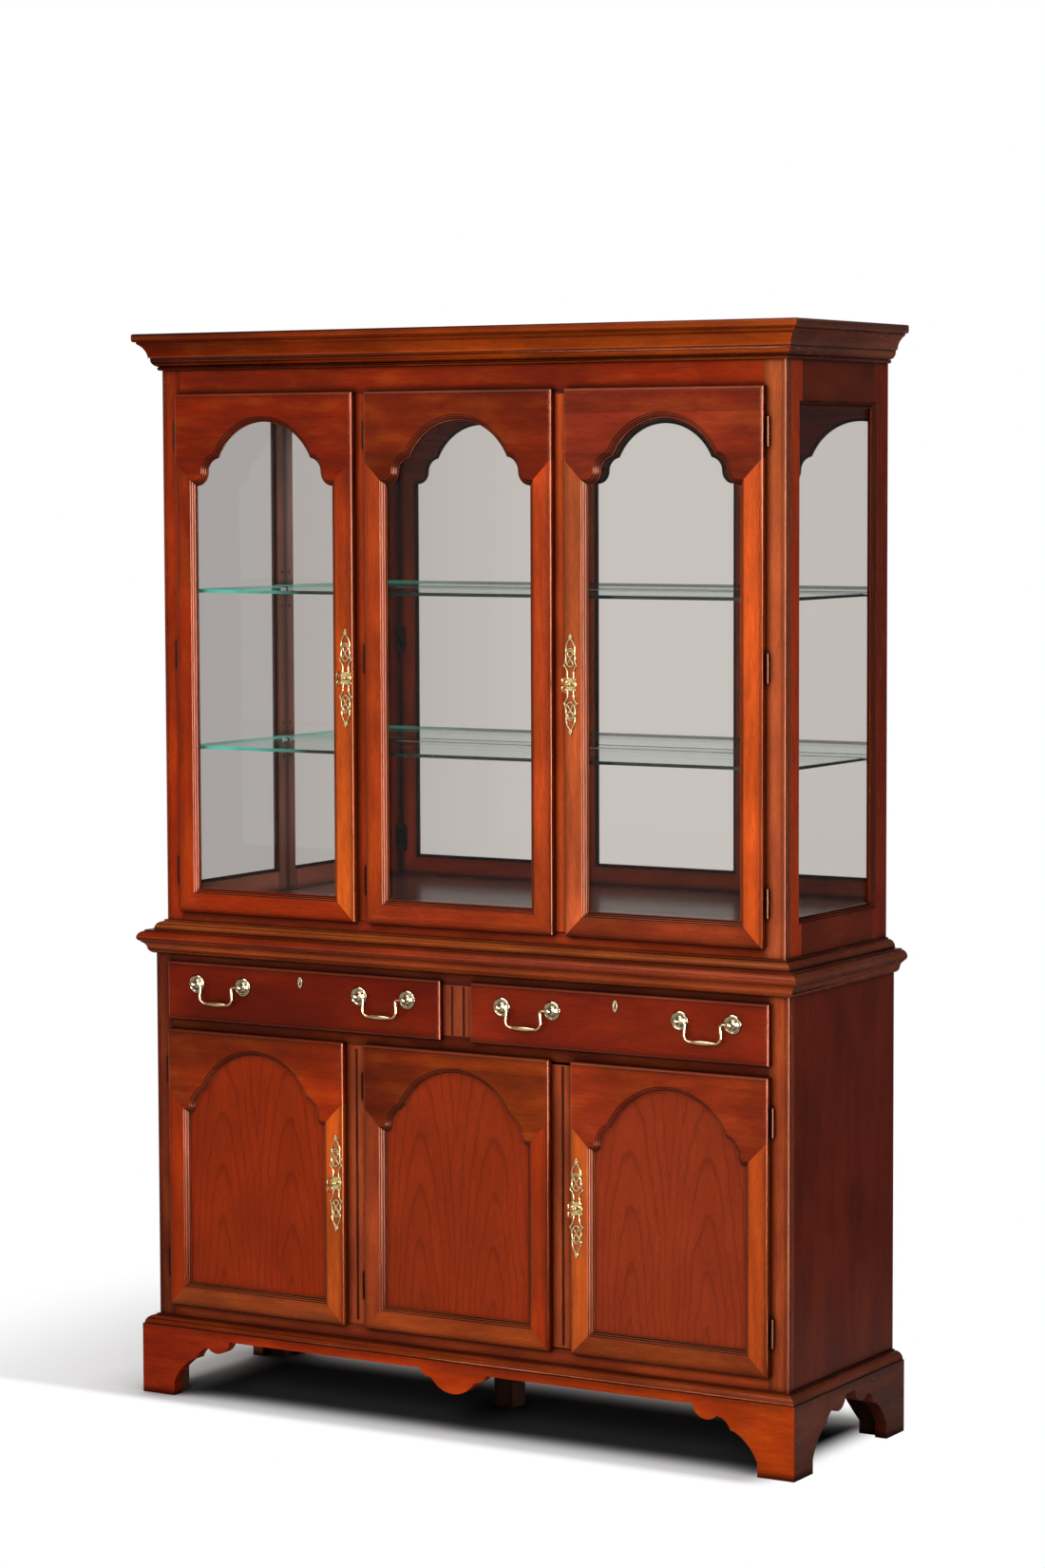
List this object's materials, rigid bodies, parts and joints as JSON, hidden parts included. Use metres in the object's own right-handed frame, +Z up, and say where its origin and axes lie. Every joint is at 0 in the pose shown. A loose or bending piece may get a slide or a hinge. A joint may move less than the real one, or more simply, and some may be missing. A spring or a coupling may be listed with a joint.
{
  "type": "china cabinet",
  "caption": "China cabinet in two stages: glazed hutch with arched doors, mirror back and crown moulding, over a buffet with drawers, arched panel doors and bracket feet.",
  "frame": {"origin": "centre of the bounding box at the floor, under the bracket feet", "axes": "+X to the right seen from the front, +Y to the back, +Z up; the doors face -Y"},
  "size_m": [1.357, 0.4474, 1.9455],
  "materials": {
    "cherry_wood": "satin lacquer",
    "cherry_panel": "satin lacquer, cathedral grain",
    "dark_back_board": "matt",
    "dark_secondary_wood": "matt stain",
    "light_drawer_wood": "matt",
    "clear_glass": "polished",
    "mirror_glass": "silvered",
    "polished_brass": "polished"
  },
  "bodies": {
    "case": {"base_back_panel": "dark_back_board", "base_face_frame": "cherry_wood", "base_floor": "cherry_wood", "base_moulding": "cherry_wood", "base_partitions": "cherry_wood", "base_shelves": "cherry_wood", "base_sides": "cherry_wood", "buffet_top": "cherry_wood", "case_hinge_leaves": "polished_brass", "crown_moulding": "cherry_wood", "door_catches": "polished_brass", "foot_blocks": "dark_secondary_wood", "glass_shelves": "clear_glass", "hutch_back_panel": "dark_back_board", "hutch_face_frame": "cherry_wood", "hutch_floor": "cherry_wood", "hutch_roof": "cherry_wood", "hutch_side_frames": "cherry_wood", "hutch_side_glass": "clear_glass", "mirror": "mirror_glass", "mirror_battens": "cherry_wood", "plinth_boards": "cherry_wood", "shelf_cleats": "dark_secondary_wood", "shelf_pins": "polished_brass", "top_bed_moulding": "cherry_wood", "waist_moulding": "cherry_wood"},
    "drawer_left_bail_a": {"drawer_left_bail_a": "polished_brass"},
    "drawer_left_bail_b": {"drawer_left_bail_b": "polished_brass"},
    "drawer_left": {"drawer_left_box": "light_drawer_wood", "drawer_left_front": "cherry_wood", "drawer_left_pulls": "polished_brass"},
    "drawer_right_bail_a": {"drawer_right_bail_a": "polished_brass"},
    "drawer_right_bail_b": {"drawer_right_bail_b": "polished_brass"},
    "drawer_right": {"drawer_right_box": "light_drawer_wood", "drawer_right_front": "cherry_wood", "drawer_right_pulls": "polished_brass"},
    "glass_door_left": {"glass_door_left_frame": "cherry_wood", "glass_door_left_glass": "clear_glass", "glass_door_left_hardware": "polished_brass"},
    "glass_door_left_key": {"glass_door_left_key": "polished_brass"},
    "glass_door_middle": {"glass_door_middle_astragal": "cherry_wood", "glass_door_middle_frame": "cherry_wood", "glass_door_middle_glass": "clear_glass", "glass_door_middle_hardware": "polished_brass"},
    "glass_door_right": {"glass_door_right_frame": "cherry_wood", "glass_door_right_glass": "clear_glass", "glass_door_right_hardware": "polished_brass"},
    "glass_door_right_key": {"glass_door_right_key": "polished_brass"},
    "panel_door_left": {"panel_door_left_frame": "cherry_wood", "panel_door_left_hardware": "polished_brass", "panel_door_left_panel": "cherry_panel"},
    "panel_door_left_key": {"panel_door_left_key": "polished_brass"},
    "panel_door_middle": {"panel_door_middle_astragal": "cherry_wood", "panel_door_middle_frame": "cherry_wood", "panel_door_middle_hardware": "polished_brass", "panel_door_middle_panel": "cherry_panel"},
    "panel_door_right": {"panel_door_right_frame": "cherry_wood", "panel_door_right_hardware": "polished_brass", "panel_door_right_panel": "cherry_panel"},
    "panel_door_right_key": {"panel_door_right_key": "polished_brass"}
  },
  "joints": [
    {"name": "glass_door_left_hinge", "type": "hinge", "parent": "case", "child": "glass_door_left", "pos_m": [-0.6056, -0.16925, 1.36525], "axis": [0, 0, -1], "range_deg": [0, 105]},
    {"name": "glass_door_left_key_turn", "type": "hinge", "parent": "glass_door_left", "child": "glass_door_left_key", "pos_m": [-0.231, -0.17925, 1.33], "axis": [0, 1, 0], "range_deg": [0, 90]},
    {"name": "glass_door_middle_hinge", "type": "hinge", "parent": "case", "child": "glass_door_middle", "pos_m": [-0.1966, -0.16925, 1.36525], "axis": [0, 0, -1], "range_deg": [0, 105]},
    {"name": "glass_door_right_hinge", "type": "hinge", "parent": "case", "child": "glass_door_right", "pos_m": [0.6056, -0.16925, 1.36525], "axis": [0, 0, 1], "range_deg": [0, 105]},
    {"name": "glass_door_right_key_turn", "type": "hinge", "parent": "glass_door_right", "child": "glass_door_right_key", "pos_m": [0.231, -0.17925, 1.33], "axis": [0, -1, 0], "range_deg": [0, 90]},
    {"name": "panel_door_left_hinge", "type": "hinge", "parent": "case", "child": "panel_door_left", "pos_m": [-0.6236, -0.18425, 0.4235], "axis": [0, 0, -1], "range_deg": [0, 105]},
    {"name": "panel_door_left_key_turn", "type": "hinge", "parent": "panel_door_left", "child": "panel_door_left_key", "pos_m": [-0.249, -0.19425, 0.4255], "axis": [0, 1, 0], "range_deg": [0, 90]},
    {"name": "panel_door_middle_hinge", "type": "hinge", "parent": "case", "child": "panel_door_middle", "pos_m": [-0.1966, -0.18425, 0.4235], "axis": [0, 0, -1], "range_deg": [0, 105]},
    {"name": "panel_door_right_hinge", "type": "hinge", "parent": "case", "child": "panel_door_right", "pos_m": [0.6236, -0.18425, 0.4235], "axis": [0, 0, 1], "range_deg": [0, 105]},
    {"name": "panel_door_right_key_turn", "type": "hinge", "parent": "panel_door_right", "child": "panel_door_right_key", "pos_m": [0.249, -0.19425, 0.4255], "axis": [0, -1, 0], "range_deg": [0, 90]},
    {"name": "drawer_left_slide", "type": "slide", "parent": "case", "child": "drawer_left", "axis": [0, -1, 0], "range_m": [0, 0.28]},
    {"name": "drawer_left_bail_a_swing", "type": "hinge", "parent": "drawer_left", "child": "drawer_left_bail_a", "pos_m": [-0.5015, -0.20525, 0.7655], "axis": [-1, 0, 0], "range_deg": [0, 90]},
    {"name": "drawer_left_bail_b_swing", "type": "hinge", "parent": "drawer_left", "child": "drawer_left_bail_b", "pos_m": [-0.1485, -0.20525, 0.7655], "axis": [-1, 0, 0], "range_deg": [0, 90]},
    {"name": "drawer_right_slide", "type": "slide", "parent": "case", "child": "drawer_right", "axis": [0, -1, 0], "range_m": [0, 0.28]},
    {"name": "drawer_right_bail_a_swing", "type": "hinge", "parent": "drawer_right", "child": "drawer_right_bail_a", "pos_m": [0.1485, -0.20525, 0.7655], "axis": [-1, 0, 0], "range_deg": [0, 90]},
    {"name": "drawer_right_bail_b_swing", "type": "hinge", "parent": "drawer_right", "child": "drawer_right_bail_b", "pos_m": [0.5015, -0.20525, 0.7655], "axis": [-1, 0, 0], "range_deg": [0, 90]}
  ]
}
